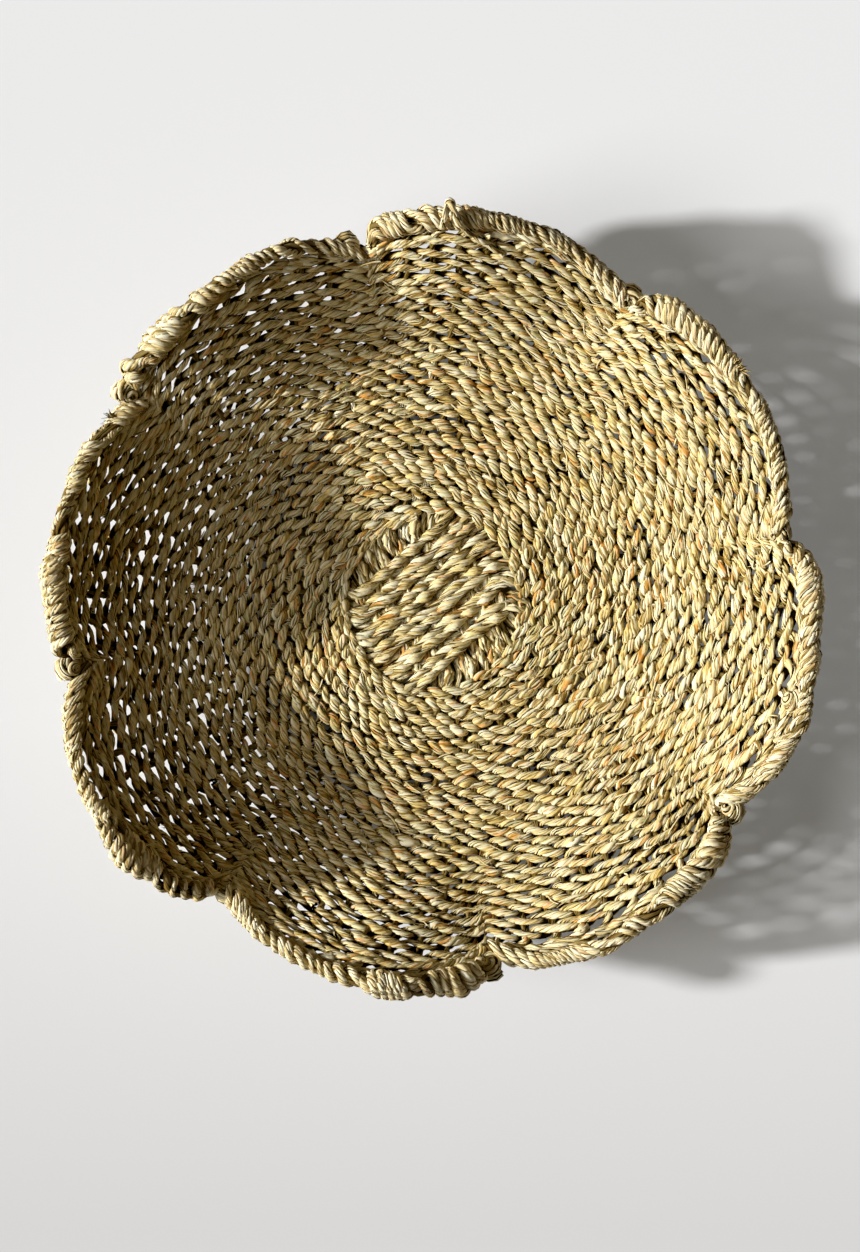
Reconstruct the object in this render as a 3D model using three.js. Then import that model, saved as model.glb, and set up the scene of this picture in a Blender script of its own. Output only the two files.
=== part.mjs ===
import * as THREE from "three";

// A twined seagrass bowl with a rim of eight petals, in millimetres and degrees.
// Z is up. The origin is on the floor, at the middle of the base.

// Cords
const weaverThickness = 2.5;
const stakeThickness = 2.3;
const stakeWidth = 3.3;
const layerGap = 0.45; // between a stake and the weavers inside and outside it
const sideGap = 0.3; // between stakes that lie side by side, and between rows of weaving
const endGap = 0.3; // between a cord's end and what it meets

// Base
const stakesPerGroup = 16; // two groups cross in the pad
const padCornerMargin = 3;
const padTurn = 34; // direction of the upper group
const fanLength = 12; // in which the stakes turn from straight to radial
const flatMargin = 14; // flat weaving past the fan, before the wall bends up

// Weaving
const rowCount = 21;
const baseRowPitch = 6.9;
const topRowPitch = 7.2;
const lengthsPerWeaver = 6;
const joinStagger = 0.5; // turns between the joins of the inner and the outer weaver
const tuckedTurn = 0.25; // part of a turn that is hidden in the weave at the first and last end

// Wall
const wallSlope = 46;
const slopeEase = 1.3; // 1 bends evenly, more bends sooner
const slopeSwing = 0.2; // steeper in the middle of a petal, flatter at a notch
const petalRise = 20; // more wall along the stake at a petal's peak than at a notch
const petalHold = 4; // higher keeps the petals' waves to the last rows
const petalSkew = 0.7; // under 1 moves the peak towards the thick end of the rim roll
const notchAngles = [11, 57, 101, 145, 190, 234, 279, 325];
const petalLean = [0, 3, 0, 0, 5, 3, 0, 0]; // further out at the peak of each petal

// Rim
const rollThickRadius = 6.2;
const rollThinRadius = 4.3;
const rollSeat = 0.4; // between the last row and a stake's end at a notch
const rollArch = 5; // more than that at a petal's middle, where loops of cord show
const knotRadius = 6.5;
const knotFlatness = 0.8;

// Fineness of the shapes
const facetsPerPetal = 4;
const profileSteps = 24;
const stakeSteps = 7;
const rollSteps = 10;
const rollSides = 8;
const knotSegments = 8;
const knotBands = 5;

const petalCount = notchAngles.length;
const stakeEnds = 4 * stakesPerGroup;
const stakePitch = stakeWidth + sideGap;
const padHalf = (stakesPerGroup * stakePitch) / 2;
const padRadius = padHalf * Math.SQRT2 + padCornerMargin;
const flatRadius = padRadius + fanLength + flatMargin;
const fanRow = fanLength / baseRowPitch;
const flatRow = (flatRadius - padRadius) / baseRowPitch;
const stakeLevel = weaverThickness + layerGap + stakeThickness / 2;
const crossingLift = (stakeThickness + layerGap) / 2;
const weaverDepth = stakeThickness / 2 + layerGap + weaverThickness / 2;

const strawColour = 0xc9b478;
const stakeColour = 0xb9a468;
const shadeColour = 0xa8935a;
const rimColour = 0xd2bd84;

function cordMaterial(colour) {
  return new THREE.MeshStandardMaterial({ color: colour, roughness: 0.85, metalness: 0 });
}

// Distance along a stake, from the middle of the base to the lower edge of a row.
function rowDistance(row) {
  return padRadius + baseRowPitch * row + ((topRowPitch - baseRowPitch) * row ** 2) / (2 * rowCount);
}

const wallLength = rowDistance(rowCount) - flatRadius;

function notchAngle(index) {
  const turns = Math.floor(index / petalCount);
  return notchAngles[index - turns * petalCount] + 360 * turns;
}

// A place around the bowl counts petals: whole numbers are notches.
function petalAt(place) {
  const index = Math.floor(place);
  const share = place - index;
  const degrees = THREE.MathUtils.lerp(notchAngle(index), notchAngle(index + 1), share);
  const angle = THREE.MathUtils.degToRad(degrees);
  const peak = Math.sin(Math.PI * (1 - share) ** petalSkew);
  const lean = petalLean[THREE.MathUtils.euclideanModulo(index, petalCount)];
  return { angle, peak, lean };
}

function slopeAt(beyondFlat, peak) {
  const share = Math.min(beyondFlat / wallLength, 1);
  const swing = 1 + slopeSwing * (peak - 0.5);
  return THREE.MathUtils.degToRad(wallSlope) * swing * (1 - (1 - share) ** slopeEase);
}

// A point of the bowl: a row and a distance past it along the stake, a place around, and a depth that is
// counted from the stakes' middle towards the inside.
function bowlPoint(row, past, place, depth) {
  const { angle, peak, lean } = petalAt(place);
  const climb = row / rowCount;
  const distance = rowDistance(row) + petalRise * climb ** petalHold * (peak - 0.5) + past;
  const beyond = Math.max(distance - flatRadius, 0);
  const step = beyond / profileSteps;
  let out = distance - beyond + lean * peak * climb ** 2;
  let up = stakeLevel;
  for (let i = 0; i < profileSteps; i++) {
    const slope = slopeAt((i + 0.5) * step, peak);
    out += Math.cos(slope) * step;
    up += Math.sin(slope) * step;
  }
  const slope = slopeAt(beyond, peak);
  out -= Math.sin(slope) * depth;
  up += Math.cos(slope) * depth;
  return new THREE.Vector3(out * Math.cos(angle), out * Math.sin(angle), up);
}

// The same point on the flat facets that all the woven pieces share, moved aside along its facet.
function facetPoint(row, past, place, depth, aside = 0) {
  const facet = Math.floor(place * facetsPerPetal);
  const start = bowlPoint(row, past, facet / facetsPerPetal, depth);
  const end = bowlPoint(row, past, (facet + 1) / facetsPerPetal, depth);
  const share = place * facetsPerPetal - facet + aside / start.distanceTo(end);
  return start.lerp(end, share);
}

// A closed solid through a row of sections. Each is a loop of points, right-handed about the way ahead.
function loft(sections) {
  const sides = sections[0].length;
  const last = (sections.length - 1) * sides;
  const faces = [];
  for (let ring = 0; ring < last; ring += sides) {
    for (let side = 0; side < sides; side++) {
      const a = ring + side;
      const b = ring + ((side + 1) % sides);
      faces.push(a, b, b + sides, a, b + sides, a + sides);
    }
  }
  for (let side = 1; side + 1 < sides; side++) {
    faces.push(0, side + 1, side, last, last + side, last + side + 1);
  }
  const geometry = new THREE.BufferGeometry().setFromPoints(sections.flat());
  geometry.setIndex(faces);
  geometry.computeVertexNormals();
  return geometry;
}

const bowl = new THREE.Group();

function addPiece(name, geometry, material) {
  const mesh = new THREE.Mesh(geometry, material);
  mesh.name = name;
  bowl.add(mesh);
}

// One length of a weaver: a flat spiral strip, whose turns lie edge to edge. Its first and last turns
// taper into the round before, so that the pad and the rim are level.
function weaverSection(turn, depth) {
  const place = turn * petalCount;
  const lower = THREE.MathUtils.clamp(turn - 1, 0, rowCount);
  const upper = THREE.MathUtils.clamp(turn, 0, rowCount);
  const near = depth - weaverThickness / 2;
  const far = depth + weaverThickness / 2;
  return [
    facetPoint(lower, sideGap / 2, place, near),
    facetPoint(lower, sideGap / 2, place, far),
    facetPoint(upper, -sideGap / 2, place, far),
    facetPoint(upper, -sideGap / 2, place, near),
  ];
}

function weaverLength(from, to, depth) {
  const facets = petalCount * facetsPerPetal;
  const endShare = (turn) => endGap / 2 / (2 * Math.PI * rowDistance(turn));
  const first = from + endShare(from);
  const last = to - endShare(to);
  const turns = [first];
  for (let facet = Math.floor(first * facets) + 1; facet < last * facets; facet++) {
    turns.push(facet / facets);
  }
  turns.push(last);
  return loft(turns.map((turn) => weaverSection(turn, depth)));
}

function addWeaver(name, depth, stagger, material) {
  const start = tuckedTurn;
  const end = rowCount + 1 - tuckedTurn;
  const joins = [start];
  for (let i = 1; i < lengthsPerWeaver; i++) {
    joins.push(THREE.MathUtils.lerp(start, end, i / lengthsPerWeaver) + stagger);
  }
  joins.push(end);
  for (let i = 0; i < lengthsPerWeaver; i++) {
    addPiece(`${name}_${i + 1}`, weaverLength(joins[i], joins[i + 1], depth), material);
  }
}

// Half of a stake, from the crossing in the pad to the rim. The sections turn right-handed about the way out.
function stakeHalf(slot, sidestep, heading, lift) {
  const place = (slot + 0.5) / (stakeEnds / petalCount);
  const half = stakeWidth / 2;
  const level = (x, y, z) => new THREE.Vector3(x, y, z).applyAxisAngle(new THREE.Vector3(0, 0, 1), heading);
  const section = (x, y, wideX, wideY, middle) =>
    [
      [-1, -1],
      [1, -1],
      [1, 1],
      [-1, 1],
    ].map(([side, face]) => level(x + side * wideX, y + side * wideY, middle + (face * stakeThickness) / 2));

  const crossingEdge = padHalf + sideGap;
  const bendX = Math.sqrt((padRadius - layerGap) ** 2 - (Math.abs(sidestep) + half) ** 2);
  const bend = level(bendX, sidestep, 0);
  const fanEnd = facetPoint(fanRow, 0, place, 0).setZ(0);
  const turning = new THREE.Vector3().subVectors(fanEnd, bend).angleTo(level(1, 0, 0)) * Math.sign(sidestep);
  const mitre = half / Math.cos(turning / 2);

  const sections = [
    section(crossingEdge, sidestep, 0, half, stakeLevel + lift),
    section(bendX, sidestep, -mitre * Math.sin(turning / 2), mitre * Math.cos(turning / 2), stakeLevel),
  ];
  const rows = [fanRow];
  for (let i = 0; i <= stakeSteps; i++) {
    rows.push(THREE.MathUtils.lerp(flatRow, rowCount, i / stakeSteps));
  }
  const topPast = rollSeat + rollArch * archShare(place);
  rows.forEach((row, i) => {
    const past = i === rows.length - 1 ? topPast : 0;
    const corner = (side, face) => facetPoint(row, past, place, (face * stakeThickness) / 2, side * half);
    sections.push([corner(-1, -1), corner(1, -1), corner(1, 1), corner(-1, 1)]);
  });
  return sections;
}

// Both halves of a stake make one cord that runs from rim to rim.
function addStakeGroup(name, firstSlot, heading, lift, material) {
  for (let i = 0; i < stakesPerGroup; i++) {
    const sidestep = (i - (stakesPerGroup - 1) / 2) * stakePitch;
    const ahead = stakeHalf(firstSlot + i, sidestep, heading, lift);
    const opposite = firstSlot + stakeEnds / 2 + stakesPerGroup - 1 - i;
    const behind = stakeHalf(opposite, -sidestep, heading + Math.PI, lift);
    const turned = behind.reverse().map(([a, b, c, d]) => [b, a, d, c]);
    addPiece(`${name}_${i + 1}`, loft([...turned, ...ahead]), material);
  }
}

// How far a petal's rim roll stands clear of the last row, from 0 at the notches to 1.
function archShare(place) {
  return Math.sin(Math.PI * (place - Math.floor(place)));
}

function rollRadius(share) {
  return THREE.MathUtils.lerp(rollThinRadius, rollThickRadius, THREE.MathUtils.smoothstep(share, 0.4, 0.8));
}

// The wrapped bundle along one petal, thin at its first notch and thick at the next one.
function rimRoll(petal) {
  const span = bowlPoint(rowCount, 0, petal, 0).distanceTo(bowlPoint(rowCount, 0, petal + 1, 0));
  const notchShare = (knotRadius + endGap) / span;
  const shares = [];
  for (let i = 0; i <= rollSteps; i++) {
    shares.push(THREE.MathUtils.lerp(notchShare, 1 - notchShare, i / rollSteps));
  }
  return loft(
    shares.map((share) => {
      const place = petal + share;
      const radius = rollRadius(share);
      const past = rollSeat + endGap + rollArch * archShare(place) + radius;
      const loop = [];
      for (let side = 0; side < rollSides; side++) {
        const around = (2 * Math.PI * (side + 0.5)) / rollSides;
        const reach = radius / Math.cos(Math.PI / rollSides);
        loop.push(bowlPoint(rowCount, past + reach * Math.sin(around), place, reach * Math.cos(around)));
      }
      return loop;
    }),
  );
}

function addRim(material) {
  for (let petal = 0; petal < petalCount; petal++) {
    addPiece(`rim_roll_${petal + 1}`, rimRoll(petal), material);
    const knot = new THREE.SphereGeometry(knotRadius, knotSegments, knotBands);
    knot.scale(1, 1, knotFlatness);
    const centre = bowlPoint(rowCount, rollSeat + endGap + knotRadius, petal, 0);
    knot.translate(centre.x, centre.y, centre.z);
    addPiece(`rim_knot_${petal + 1}`, knot, material);
  }
}

const upperHeading = THREE.MathUtils.degToRad(padTurn);
const lowerHeading = upperHeading + Math.PI / 2;
const upperSlot = Math.round((padTurn - notchAngles[0]) / (360 / stakeEnds)) - stakesPerGroup / 2;
const lowerSlot = upperSlot + stakesPerGroup;
addStakeGroup("upper_stake", upperSlot, upperHeading, crossingLift, cordMaterial(strawColour));
addStakeGroup("lower_stake", lowerSlot, lowerHeading, -crossingLift, cordMaterial(stakeColour));
addWeaver("inner_weaver", weaverDepth, joinStagger, cordMaterial(strawColour));
addWeaver("outer_weaver", -weaverDepth, 0, cordMaterial(shadeColour));
addRim(cordMaterial(rimColour));

export default bowl;
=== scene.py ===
import math
import random
from math import cos, pi, radians, sin, sqrt

import bpy
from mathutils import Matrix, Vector, noise


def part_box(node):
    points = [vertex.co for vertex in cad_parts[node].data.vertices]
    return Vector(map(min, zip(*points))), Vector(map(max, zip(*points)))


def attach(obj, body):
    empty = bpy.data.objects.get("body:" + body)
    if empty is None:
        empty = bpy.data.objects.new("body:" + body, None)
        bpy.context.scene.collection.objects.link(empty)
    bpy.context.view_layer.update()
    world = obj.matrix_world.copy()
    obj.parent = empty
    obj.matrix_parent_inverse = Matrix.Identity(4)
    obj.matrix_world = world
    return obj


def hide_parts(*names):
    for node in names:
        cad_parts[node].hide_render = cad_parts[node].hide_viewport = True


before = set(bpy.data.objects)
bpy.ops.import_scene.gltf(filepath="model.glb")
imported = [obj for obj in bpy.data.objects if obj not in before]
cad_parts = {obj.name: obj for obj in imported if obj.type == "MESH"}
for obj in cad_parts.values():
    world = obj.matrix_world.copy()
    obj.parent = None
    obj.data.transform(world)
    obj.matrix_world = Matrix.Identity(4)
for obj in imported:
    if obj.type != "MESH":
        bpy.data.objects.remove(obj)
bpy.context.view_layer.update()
print("frame loaded:", len(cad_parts), "nodes")

mm = 0.001

# The bowl's own shape, in millimetres and degrees, as its solids have it.
bowl = {
    "weaverThickness": 2.5,
    "stakeThickness": 2.3,
    "stakeWidth": 3.3,
    "layerGap": 0.45,
    "sideGap": 0.3,
    "endGap": 0.3,
    "stakesPerGroup": 16,
    "padCornerMargin": 3,
    "padTurn": 34,
    "fanLength": 12,
    "flatMargin": 14,
    "rowCount": 21,
    "baseRowPitch": 6.9,
    "topRowPitch": 7.2,
    "wallSlope": 46,
    "slopeEase": 1.3,
    "slopeSwing": 0.2,
    "petalRise": 20,
    "petalHold": 4,
    "petalSkew": 0.7,
    "petalFullness": 0.9,
    "foldStart": 5,  # the higher, the nearer the rim the fold at a notch begins
    "padLean": 6,  # degrees by which the cords of the pad lie further round than the solids
    "notchAngles": [11, 57, 101, 145, 190, 234, 279, 325],
    "petalLean": [0, 3, 0, 0, 5, 3, 0, 0],
    "rollThickRadius": 6.2,
    "rollThinRadius": 4.3,
    "rollSeat": 0.4,
    "rollArch": 5,
    "profileSteps": 24,
}

rowCount = bowl["rowCount"]
groupSize = bowl["stakesPerGroup"]
petalCount = len(bowl["notchAngles"])
stakeEnds = 4 * groupSize
stakesPerPetal = stakeEnds // petalCount
stakePitch = bowl["stakeWidth"] + bowl["sideGap"]
padHalf = groupSize * stakePitch / 2
padRadius = padHalf * sqrt(2) + bowl["padCornerMargin"]
flatRadius = padRadius + bowl["fanLength"] + bowl["flatMargin"]
stakeLevel = bowl["weaverThickness"] + bowl["layerGap"] + bowl["stakeThickness"] / 2
crossingLift = (bowl["stakeThickness"] + bowl["layerGap"]) / 2


def clamp(value, low, high):
    return max(low, min(high, value))


def blendShare(value, start, end):  # a smooth step from 0 to 1
    share = clamp((value - start) / (end - start), 0, 1)
    return share * share * (3 - 2 * share)


def rowDistance(row):
    growth = bowl["topRowPitch"] - bowl["baseRowPitch"]
    return padRadius + bowl["baseRowPitch"] * row + growth * row * row / (2 * rowCount)


wallLength = rowDistance(rowCount) - flatRadius


def notchAngle(index):
    turns = index // petalCount
    return bowl["notchAngles"][index - turns * petalCount] + 360 * turns


def petalAt(place):
    index = math.floor(place)
    share = place - index
    start, end = notchAngle(index), notchAngle(index + 1)
    angle = radians(start + (end - start) * share)
    swell = sin(pi * (1 - share) ** bowl["petalSkew"])
    return angle, swell ** 2, swell ** bowl["petalFullness"], bowl["petalLean"][index % petalCount]


def slopeAt(beyondFlat, peak):
    share = min(beyondFlat / wallLength, 1)
    swing = 1 + bowl["slopeSwing"] * (peak - 0.5)
    return radians(bowl["wallSlope"]) * swing * (1 - (1 - share) ** bowl["slopeEase"])


# A point between the layers of the weave, with the direction into the bowl and the direction up the stake.
def bowlFrame(row, past, place):
    angle, soft, full, lean = petalAt(place)
    climb = row / rowCount
    peak = soft + (full - soft) * climb ** bowl["foldStart"]
    distance = rowDistance(row) + bowl["petalRise"] * climb ** bowl["petalHold"] * (peak - 0.5) + past
    beyond = max(distance - flatRadius, 0)
    step = beyond / bowl["profileSteps"]
    out = distance - beyond + lean * full * climb ** 2
    up = stakeLevel
    for i in range(bowl["profileSteps"]):
        slope = slopeAt((i + 0.5) * step, soft)
        out += cos(slope) * step
        up += sin(slope) * step
    slope = slopeAt(beyond, soft)
    outward = Vector((cos(angle), sin(angle), 0))
    upward = Vector((0, 0, 1))
    point = (outward * out + upward * up) * mm
    facing = upward * cos(slope) - outward * sin(slope)
    climbing = outward * cos(slope) + upward * sin(slope)
    return point, facing, climbing


# Smooth noise from about -1 to 1. Its seed, and the fixed number that ends some calls, tell waves apart.
def wave(seed, *place):
    spot = list(place) + [0] * (3 - len(place))
    return 1.6 * noise.noise(Vector(spot) + Vector((seed * 17.3, seed * 5.9, seed * 11.1)))


def stray(drift, seed, along, apart=0):  # a drift is how far it goes, and its waves to a unit of the way
    far, waves = drift
    return far * wave(seed, along * waves, apart)


def spaced(start, end, steps):
    return [start + (end - start) * i / steps for i in range(steps + 1)]


def placed(name, data):
    thing = bpy.data.objects.new(name, data)
    bpy.context.scene.collection.objects.link(thing)
    return thing


def feed(tree, node, inputs):  # links what comes from another node, and sets the rest
    for key, value in inputs.items():
        if isinstance(value, bpy.types.NodeSocket):
            tree.links.new(value, node.inputs[key])
        else:
            node.inputs[key].default_value = value


def addNode(tree, kind, inputs=None, **settings):
    node = tree.nodes.new(kind)
    for key, value in settings.items():
        setattr(node, key, value)
    feed(tree, node, inputs or {})
    return node


def maths(tree, operation, *values):
    inputs = dict(enumerate(values))
    return addNode(tree, "ShaderNodeMath", inputs, operation=operation).outputs[0]


def vectors(tree, operation, *values):
    inputs = dict(enumerate(values))
    node = addNode(tree, "ShaderNodeVectorMath", inputs, operation=operation)
    return node.outputs["Value" if operation in ("DOT_PRODUCT", "LENGTH") else "Vector"]


def scaled(tree, vector, factor):
    node = addNode(tree, "ShaderNodeVectorMath", {0: vector, "Scale": factor}, operation="SCALE")
    return node.outputs["Vector"]


def combined(tree, **parts):
    return addNode(tree, "ShaderNodeCombineXYZ", parts).outputs["Vector"]


def ranged(tree, value, start, end, first=0.0, last=1.0):  # first at the start, last at the end
    inputs = {"Value": value, "From Min": start, "From Max": end, "To Min": first, "To Max": last}
    return addNode(tree, "ShaderNodeMapRange", inputs).outputs["Result"]


def colourMix(tree, factor, first, second):
    return addNode(tree, "ShaderNodeMix", {0: factor, 6: first, 7: second}, data_type="RGBA").outputs[2]


def namedValue(tree, name, kind="FLOAT"):
    node = addNode(tree, "GeometryNodeInputNamedAttribute", {"Name": name}, data_type=kind)
    return node.outputs["Attribute"]


def storeValue(tree, geometry, name, value, kind="FLOAT"):
    inputs = {"Geometry": geometry, "Name": name, "Value": value}
    node = addNode(tree, "GeometryNodeStoreNamedAttribute", inputs, data_type=kind, domain="POINT")
    return node.outputs["Geometry"]


def captured(tree, geometry, **vectors):  # what the vectors are at this stage, by name
    node = addNode(tree, "GeometryNodeCaptureAttribute", {"Geometry": geometry}, domain="POINT")
    for name in vectors:
        node.capture_items.new("VECTOR", name)
    feed(tree, node, vectors)
    return node.outputs


def moved(tree, geometry, **inputs):  # to a Position, or by an Offset
    return addNode(tree, "GeometryNodeSetPosition", {"Geometry": geometry, **inputs}).outputs["Geometry"]


# An input's kind of socket follows from its value, or is its name where nothing is set.
def openGroup(title, kind, inputs, **outputs):
    group = bpy.data.node_groups.new(title, kind)
    kinds = {int: "Int", float: "Float", tuple: "Color"}
    for name, value in inputs.items():
        socketKind = "NodeSocket" + kinds.get(type(value), name)
        socket = group.interface.new_socket(name, in_out="INPUT", socket_type=socketKind)
        if value is not None:
            socket.default_value = value
    for name, socketKind in outputs.items():
        group.interface.new_socket(name, in_out="OUTPUT", socket_type="NodeSocket" + socketKind)
    return group, group.nodes.new("NodeGroupInput").outputs


# How unlike one another the blades of a twine are.
bladeNoise = {
    "stretch": 0.07,  # of the noise, per mm along the guide
    "bladeSeeds": (7.31, 3.17),  # steps of the seed, between pieces and between the blades of one
    "strandSeeds": (5.77, 9.1),
    # step of the seed, and scale
    "spread": (0.0, 1.0),
    "stray": (50.0, 2.6),
    "width": (90.0, 1.7),
    "spreadReach": (0.9, 0.55),  # of the bundle's radius: how far it changes, and from where
    "strayReach": 3.0,  # times the wander
    "widthReach": 4.0,  # times the unevenness
    "leastWidth": 0.25,
}


# A piece's own settings name only what differs from these.
plainTwine = {
    "Geometry": None,
    "Strands": 3,
    "Shift": 0.0,
    "Across": 1.0,
    "Depth": 1.0,
    "Crossing Lift": 0.0,
    "Blades": 3,
    "Blade Width": 2.2 * mm,
    "Blade Thickness": 1.1 * mm,
    "Bundle Radius": 0.8 * mm,
    "Bundle Twist": 0.02,
    "Unevenness": 0.4,
    "Wander": 0.3 * mm,
    "Spindle": 0.0,
    "Broadness": 0.0,
    "Face Light": 0.0,
    "Bundle Shade": 0.68,
    "Sides": 5,
    "Seed": 1,
    "Material": None,
}


# Twine along a guide: strands turn about the guide, and each strand is a loose bundle of flat grass blades.
# The guide's points carry phase (half turns), across and facing (vectors), gauge and travel (millimetres),
# and a share of painted shade for where a part lies covered.
def buildTwineTree():
    tree, given = openGroup("Twine on a guide", "GeometryNodeTree", plainTwine, Geometry="Geometry")

    def times(first, second):
        return maths(tree, "MULTIPLY", first, second)

    def plus(first, second):
        return maths(tree, "ADD", first, second)

    def seedOf(steps, number):
        return plus(times(given["Seed"], steps[0]), times(number, steps[1]))

    def chanceOf(seed):
        return addNode(tree, "ShaderNodeTexWhiteNoise", {"W": seed}, noise_dimensions="1D").outputs["Value"]

    phase, travel, gauge = (namedValue(tree, name) for name in ("phase", "travel", "gauge"))
    across, facing = (namedValue(tree, name, "FLOAT_VECTOR") for name in ("across", "facing"))
    place = tree.nodes.new("GeometryNodeInputPosition").outputs["Position"]

    bare = addNode(tree, "GeometryNodeMeshToCurve", {"Mesh": given["Geometry"]}).outputs["Curve"]
    guideline = captured(tree, bare, Middle=place)
    inputs = {"Geometry": guideline["Geometry"], "Amount": times(given["Strands"], given["Blades"])}
    copies = addNode(tree, "GeometryNodeDuplicateElements", inputs, domain="SPLINE").outputs
    index = copies["Duplicate Index"]
    strand = maths(tree, "FLOOR", maths(tree, "DIVIDE", plus(index, 0.01), given["Blades"]))
    blade = maths(tree, "SUBTRACT", index, times(strand, given["Blades"]))
    bladeSeed = seedOf(bladeNoise["bladeSeeds"], index)
    strandSeed = seedOf(bladeNoise["strandSeeds"], strand)

    # the strands' way round the guide
    share = maths(tree, "DIVIDE", times(strand, 2.0), given["Strands"])
    angle = times(plus(plus(phase, given["Shift"]), share), pi)
    sine, cosine = maths(tree, "SINE", angle), maths(tree, "COSINE", angle)
    sideways = scaled(tree, across, times(given["Across"], sine))
    lift = times(times(sine, sine), given["Crossing Lift"])
    inwards = scaled(tree, facing, times(given["Depth"], plus(cosine, lift)))
    helix = vectors(tree, "ADD", sideways, inwards)
    strands = moved(tree, copies["Geometry"], Offset=helix)

    # the blades' way round their strand
    tangent = tree.nodes.new("GeometryNodeInputTangent").outputs["Tangent"]
    side = vectors(tree, "NORMALIZE", vectors(tree, "CROSS_PRODUCT", tangent, facing))
    up = vectors(tree, "CROSS_PRODUCT", side, tangent)
    start = plus(maths(tree, "DIVIDE", blade, given["Blades"]), chanceOf(strandSeed))
    turn = times(plus(start, times(travel, given["Bundle Twist"])), 2 * pi)
    flank = scaled(tree, side, maths(tree, "COSINE", turn))
    radial = vectors(tree, "ADD", flank, scaled(tree, up, maths(tree, "SINE", turn)))
    faceLight = scaled(tree, facing, times(given["Face Light"], cosine))
    towards = vectors(tree, "ADD", vectors(tree, "NORMALIZE", helix), faceLight)
    kept = captured(tree, strands, Radial=radial, Helix=vectors(tree, "NORMALIZE", towards), Flank=flank)

    # a strand is stoutest and broadest where it lies over a stake
    along = combined(tree, X=times(travel, bladeNoise["stretch"]))

    def noiseAlong(name, output="Fac"):
        step, scale = bladeNoise[name]
        inputs = {"Vector": along, "W": plus(bladeSeed, step), "Scale": scale}
        return addNode(tree, "ShaderNodeTexNoise", inputs, noise_dimensions="4D").outputs[output]

    overStake = times(cosine, cosine)
    belly = maths(tree, "MULTIPLY_ADD", overStake, given["Spindle"], 1.0)
    broad = maths(tree, "MULTIPLY_ADD", overStake, given["Broadness"], 1.0)
    narrow = maths(tree, "DIVIDE", 1.0, broad)
    stoutness = times(gauge, belly)
    loose = maths(tree, "MULTIPLY_ADD", noiseAlong("spread"), *bladeNoise["spreadReach"])
    spread = times(times(given["Bundle Radius"], stoutness), loose)
    strayed = vectors(tree, "SUBTRACT", noiseAlong("stray", "Color"), (0.5, 0.5, 0.5))
    strayed = scaled(tree, strayed, times(given["Wander"], bladeNoise["strayReach"]))
    outOfStrand = scaled(tree, kept["Radial"], times(spread, narrow))
    outOfFlank = scaled(tree, kept["Flank"], times(spread, maths(tree, "SUBTRACT", broad, narrow)))
    flattened = vectors(tree, "ADD", outOfStrand, outOfFlank)
    blades = moved(tree, kept["Geometry"], Offset=vectors(tree, "ADD", flattened, strayed))
    inputs = {"Curve": blades, "Normal": kept["Radial"]}
    normals = addNode(tree, "GeometryNodeSetCurveNormal", inputs, mode="FREE").outputs["Curve"]

    # a blade's flat profile, and its uneven width
    inputs = {"Resolution": given["Sides"], "Radius": 1.0}
    circle = addNode(tree, "GeometryNodeCurvePrimitiveCircle", inputs).outputs["Curve"]
    ring = captured(tree, circle, Around=place)
    flat = combined(tree, X=times(given["Blade Thickness"], 0.5), Y=times(given["Blade Width"], 0.5))
    shaped = moved(tree, ring["Geometry"], Position=vectors(tree, "MULTIPLY", ring["Around"], flat))
    change = maths(tree, "SUBTRACT", noiseAlong("width"), 0.5)
    reach = times(given["Unevenness"], bladeNoise["widthReach"])
    uneven = maths(tree, "MULTIPLY_ADD", change, reach, 1.0)
    width = times(stoutness, maths(tree, "MAXIMUM", uneven, bladeNoise["leastWidth"]))
    inputs = {"Curve": normals, "Profile Curve": shaped, "Scale": width, "Fill Caps": True}
    mesh = addNode(tree, "GeometryNodeCurveToMesh", inputs).outputs["Mesh"]

    # what the grass is coloured by: place on the blade, openness, tone, and depth from the guide in mm;
    # openness and depth set the painted shade in creases
    parts = addNode(tree, "ShaderNodeSeparateXYZ", {"Vector": ring["Around"]}).outputs
    halfWidth = times(given["Blade Width"], 0.5 / mm)
    halfThickness = times(given["Blade Thickness"], 0.5 / mm)
    grain = combined(tree, X=travel, Y=times(parts["X"], halfThickness), Z=times(parts["Y"], halfWidth))
    mesh = storeValue(tree, mesh, "grain", grain, "FLOAT_VECTOR")
    normal = tree.nodes.new("GeometryNodeInputNormal").outputs["Normal"]
    onFace = vectors(tree, "DOT_PRODUCT", normal, kept["Helix"])
    inBundle = vectors(tree, "DOT_PRODUCT", normal, kept["Radial"])
    faceShare = maths(tree, "SUBTRACT", 1.0, given["Bundle Shade"])
    exposure = plus(times(inBundle, given["Bundle Shade"]), times(onFace, faceShare))
    mesh = storeValue(tree, mesh, "open", exposure)
    mesh = storeValue(tree, mesh, "tone", chanceOf(bladeSeed))
    reach = vectors(tree, "SUBTRACT", place, guideline["Middle"])
    depth = vectors(tree, "DOT_PRODUCT", reach, vectors(tree, "NORMALIZE", facing))
    mesh = storeValue(tree, mesh, "depth", times(maths(tree, "ABSOLUTE", depth), 1 / mm))

    standing = vectors(tree, "MAXIMUM", place, (-10, -10, 0.05 * mm))  # pressed flat on the floor
    smooth = addNode(tree, "GeometryNodeSetShadeSmooth", {"Geometry": moved(tree, mesh, Position=standing)})
    real = addNode(tree, "GeometryNodeRealizeInstances", {"Geometry": smooth.outputs["Geometry"]})
    inputs = {"Geometry": real.outputs["Geometry"], "Material": given["Material"]}
    finished = addNode(tree, "GeometryNodeSetMaterial", inputs)
    addNode(tree, "NodeGroupOutput", {"Geometry": finished.outputs["Geometry"]})
    return tree


twineTree = buildTwineTree()


def guidePoint(place, across, facing, travel, gauge, phase=0.0, paintedShade=0.0):
    values = {"travel": travel, "gauge": gauge, "phase": phase, "paintedShade": paintedShade}
    return {"place": place, "across": across, "facing": facing, **values}


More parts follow.
